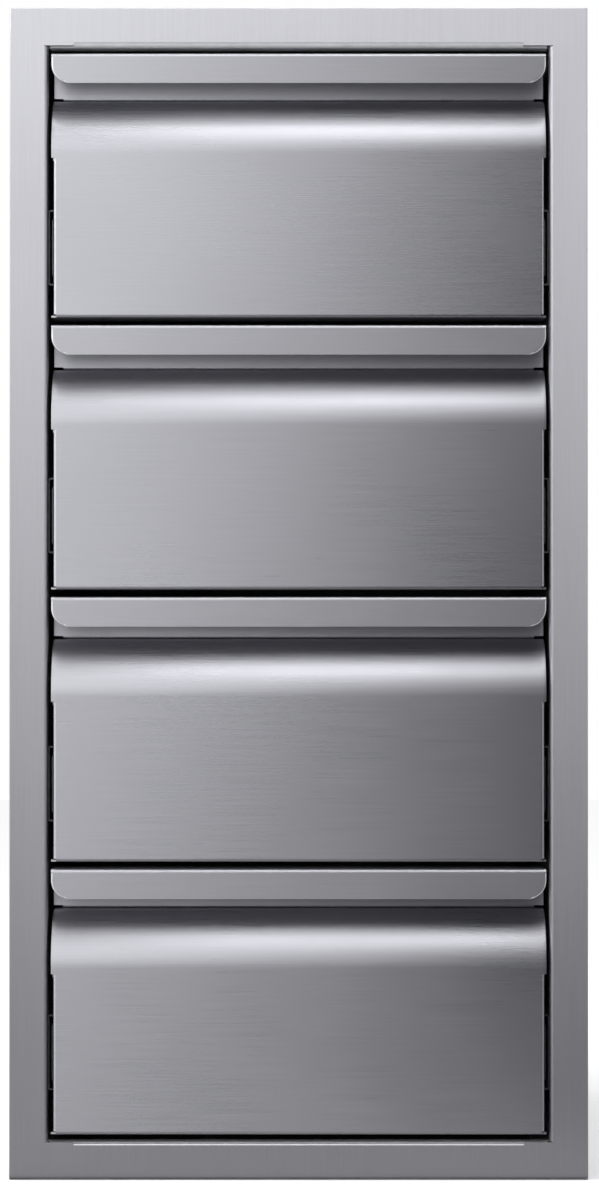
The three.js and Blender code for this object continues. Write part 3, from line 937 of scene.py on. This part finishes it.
facePlate = makeFaceFrame()
hangUp(facePlate, "frameSteel", "cabinet", "face_frame")
paintLightOnReturns(facePlate)
print("face frame done")

for sideName in sides:
    hangUp(makeSidePanel(sideName), "panelSteel", "cabinet", f"{sideName}_side_panel")
hangUp(makeEndPanel("top_panel_visual", "top_panel", 1), "panelSteel", "cabinet", "top_panel")
hangUp(makeEndPanel("bottom_panel_visual", "bottom_panel", -1), "panelSteel", "cabinet", "bottom_panel")
hangUp(makeBackPanel(), "panelSteel", "cabinet", "back_panel")
print("box done")


def hangFront(part, material):
    return lambda piece, drawer: hangUp(piece, material, drawer, f"{drawer}_{part}")


# The rounded ends and lower corners of the lip are ground, and a pale half matt finish on them paints a highlight
# there, where the share of Y in a face's normal lies within the given slopes.
def hangHandle(piece, drawer):
    node = f"{drawer}_handle_channel"
    hangUp(piece, "handleSteel", drawer, node)
    look = handle
    low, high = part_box(node)
    lipHead = high.z - look["lipFold"]
    lowest, highest = look["paintedHighlightSlopes"]
    piece.data.materials.append(finishes["groundPaintedHighlight"])
    pickObject(piece)
    piece.active_material_index = 1
    bpy.ops.object.mode_set(mode="EDIT")
    pickFaces(lambda middle, normal: middle.y < low.y + look["groundEdge"] and middle.z < lipHead
              and abs(middle.x) > high.x - look["lipCorner"] and lowest < normal.y < highest)
    bpy.ops.object.material_slot_assign()
    bpy.ops.object.mode_set(mode="OBJECT")


repeatDown(makeHandle(), lambda drawer: f"{drawer}_handle", hangHandle)
repeatDown(makeFrontSkin(), lambda drawer: f"{drawer}_skin", hangFront("front_skin", "frontSteel"))
repeatDown(makeTray(), lambda drawer: f"{drawer}_bin", hangFront("tray", "traySteel"))
print("drawers done")


def hangSlide(part, sideName, material):
    def hang(piece, drawer):
        node = f"{drawer}_{sideName}_{part}"
        body = {"cabinet_rail": "cabinet", "drawer_rail": drawer}.get(part, f"{node}_body")
        hangUp(piece, material, body, node)
    return hang


for sideName in sides:
    for part in rails:
        hang = hangSlide(part, sideName, "railZinc")
        repeatDown(makeRail(part, sideName), lambda drawer: f"{drawer}_{sideName}_{part}_sheet", hang)
    for part in cages:
        hang = hangSlide(part, sideName, "cageZinc")
        repeatDown(makeCage(part, sideName), lambda drawer: f"{drawer}_{sideName}_{part}_balls", hang)
print("slides done")

for sideName, side in sides.items():
    trayWall = side * (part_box("drawer_1_tray")[1].x - tray["sheet"])
    hang = lambda piece, drawer: hangUp(piece, "cageZinc", drawer)
    repeatDown(slideScrews("tray_screws", sideName, trayWall, -side),
               lambda drawer: f"{drawer}_{sideName}_tray_screws", hang)
    panelWall = side * (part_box("right_side_panel")[1].x - boxPanel["flange"] + boxPanel["sheet"])
    hang = lambda piece, drawer: hangUp(piece, "cageZinc", "cabinet")
    repeatDown(slideScrews("panel_screws", sideName, panelWall, side),
               lambda drawer: f"{drawer}_{sideName}_panel_screws", hang)
    hang = lambda piece, drawer: hangUp(piece, "rubber", "cabinet")
    repeatDown(makeStop(sideName), lambda drawer: f"{drawer}_{sideName}_stop", hang)
print("screws and stops done")


# Studio: a pale floor and a white room. Two glowing cards in front, which only the steel's reflections see, paint what
# the
# steel mirrors in place of the room: a strip on the floor at its foot, and a wide one that curves up. Soft lamps stand
# round them.

studio = {"floorSize": 12, "floorColour": (0.94, 0.94, 0.94), "floorRough": 0.9, "room": 1}


def lightWorld():
    world = bpy.data.worlds.new("studio")
    bpy.context.scene.world = world
    world.use_nodes = True
    room = world.node_tree.nodes["Background"]
    room.inputs["Color"].default_value = (1, 1, 1, 1)
    room.inputs["Strength"].default_value = studio["room"]


def layFloor():
    clearSelection()
    bpy.ops.mesh.primitive_plane_add(size=studio["floorSize"], location=(0, 0, 0))
    floor = bpy.context.object
    floor.name = "floor"
    material, nodes, links, shader = startMaterial("paleFloor")
    shader.inputs["Base Color"].default_value = (*studio["floorColour"], 1)
    shader.inputs["Roughness"].default_value = studio["floorRough"]
    shader.inputs["Specular IOR Level"].default_value = 0
    floor.data.materials.append(material)


# Lamps of even soft light: where they stand, where they point, their size and power
lamps = {
    "topLamp": {"place": (0.09, -2.2, 3.0), "aim": (0, -0.26, 0.35), "size": (0.55, 0.95), "power": 5.2},
    "overLamp": {"place": (0, -0.3, 2.2), "aim": (0, -0.29, 0.6), "size": (0.9, 0.5), "power": 10},
    "leftLamp": {"place": (-1.9, -1.1, 1.6), "aim": (0, -0.4, 0.4), "size": (2.2, 1.1), "power": 34},
}


def hangLamps():
    for name, look in lamps.items():
        clearSelection()
        bpy.ops.object.light_add(type="AREA", location=look["place"])
        lamp = bpy.context.object
        lamp.name = name
        lamp.rotation_euler = (Vector(look["aim"]) - Vector(look["place"])).to_track_quat("-Z", "Y").to_euler()
        lamp.data.shape = "RECTANGLE"
        lamp.data.size, lamp.data.size_y = look["size"]
        lamp.data.energy = look["power"]


# How bright each card is, as levels at metres across it, and at metres in front of the frame or up from the floor
cardSpan = (-2.6, 4.2)
cardHeight = 0.0003
footCard = {
    "far": 0.22,
    "across": [(-1.0, 1.2), (0, 1), (0.4, 0.8), (1.0, 0.8)],
    # the foot card is dark for its last few millimetres at the frame, which paints a contact shadow into the frame's
    # foot where it mirrors the card
    "forwards": [(-0.22, 0.38), (-0.008, 0.38), (-0.005, 0), (0, 0)],
}
wideCard = {
    "far": 2.3,
    "bend": 0.5,
    "bendSteps": 12,
    "rise": 3.2,
    "lean": 0.12,
    "across": [(-1.5, 2.2), (-0.75, 1.6), (-0.4, 1.65), (-0.1, 1.12), (0.2, 0.25), (0.45, 0.0), (0.9, 0.1), (1.8, 0.6)],
    "upwards": [(0, 0.36), (0.12, 0.43), (0.4, 0.86), (0.8, 1.32), (1.05, 1.43), (1.5, 1.1), (2.2, 0.8), (3.7, 0.8)],
}


# A ramp of grey levels along one axis of the piece, with its brightest level as 1.
def levelsAlong(nodes, links, socket, stops, start=0):
    low, high = stops[0][0], stops[-1][0]
    brightest = max(level for place, level in stops)
    share = addRange(nodes, links, socket, (start + low, start + high), (0, 1))
    ramp = nodes.new("ShaderNodeValToRGB")
    ramp.color_ramp.interpolation = "LINEAR"
    elements = ramp.color_ramp.elements
    while len(elements) < len(stops):
        elements.new(0.5)
    for element, (place, level) in zip(elements, stops):
        element.position = (place - low) / (high - low)
        element.color = (level / brightest, level / brightest, level / brightest, 1)
    links.new(share.outputs["Result"], ramp.inputs["Fac"])
    return ramp.outputs["Color"], brightest


# The finished card glows by the product of its two ramps, and only the steel's reflections see it. Where the card
# leans, the levels across it hold at 1 m up and lie further to the left below that.
def lightCard(sheet, across, axis, levels, start=0, lean=0):
    bpy.ops.object.mode_set(mode="OBJECT")
    material, nodes, links, shader = startMaterial(sheet.name)
    place = nodes.new("ShaderNodeTexCoord")
    split = nodes.new("ShaderNodeSeparateXYZ")
    links.new(place.outputs["Object"], split.inputs[0])
    leaning = nodes.new("ShaderNodeMath")
    leaning.operation = "MULTIPLY_ADD"
    links.new(split.outputs["Z"], leaning.inputs[0])
    leaning.inputs[1].default_value = -lean
    links.new(split.outputs["X"], leaning.inputs[2])
    first, firstLevel = levelsAlong(nodes, links, leaning.outputs["Value"], across, -lean)
    second, secondLevel = levelsAlong(nodes, links, split.outputs[axis], levels, start)
    both = nodes.new("ShaderNodeMath")
    both.operation = "MULTIPLY"
    links.new(first, both.inputs[0])
    links.new(second, both.inputs[1])
    strength = nodes.new("ShaderNodeMath")
    strength.operation = "MULTIPLY"
    strength.inputs[1].default_value = firstLevel * secondLevel
    links.new(both.outputs["Value"], strength.inputs[0])
    glow = nodes.new("ShaderNodeEmission")
    links.new(strength.outputs["Value"], glow.inputs["Strength"])
    links.new(glow.outputs[0], nodes["Material Output"].inputs["Surface"])
    sheet.data.materials.append(material)
    sheet.visible_camera = False
    sheet.visible_shadow = False
    sheet.visible_diffuse = False


def standCards():
    front = cadLow.y
    left, right = cardSpan
    edge = front - footCard["far"]
    strip = addSheet("foot_card", (left, edge, cardHeight), (right, front, cardHeight))
    lightCard(strip, footCard["across"], "Y", footCard["forwards"], front)
    turn = front - wideCard["far"]
    sheet = addSheet("wide_card", (left, turn, cardHeight), (right, edge, cardHeight))
    pickEdges(lambda middle, along: near(middle.y, turn))
    path = [(0, wideCard["bend"]), (wideCard["rise"], 0)]
    carryOn((0, turn, cardHeight), (0, -1, 0), (1, 0, 0), path, wideCard["bendSteps"])
    lightCard(sheet, wideCard["across"], "Z", wideCard["upwards"], lean=wideCard["lean"])


camera = {"place": (0.0005, -2.86, 0.3187), "pitch": 0.6, "lens": 132.45, "sensor": 36}


def setCamera():
    clearSelection()
    bpy.ops.object.camera_add(location=camera["place"], rotation=(radians(90 + camera["pitch"]), 0, 0))
    eye = bpy.context.object
    eye.data.lens = camera["lens"]
    eye.data.sensor_width = camera["sensor"]
    bpy.context.scene.camera = eye


lightWorld()
layFloor()
hangLamps()
standCards()
setCamera()
bpy.context.scene.view_settings.view_transform = "Standard"
clearSelection()
print("studio done")
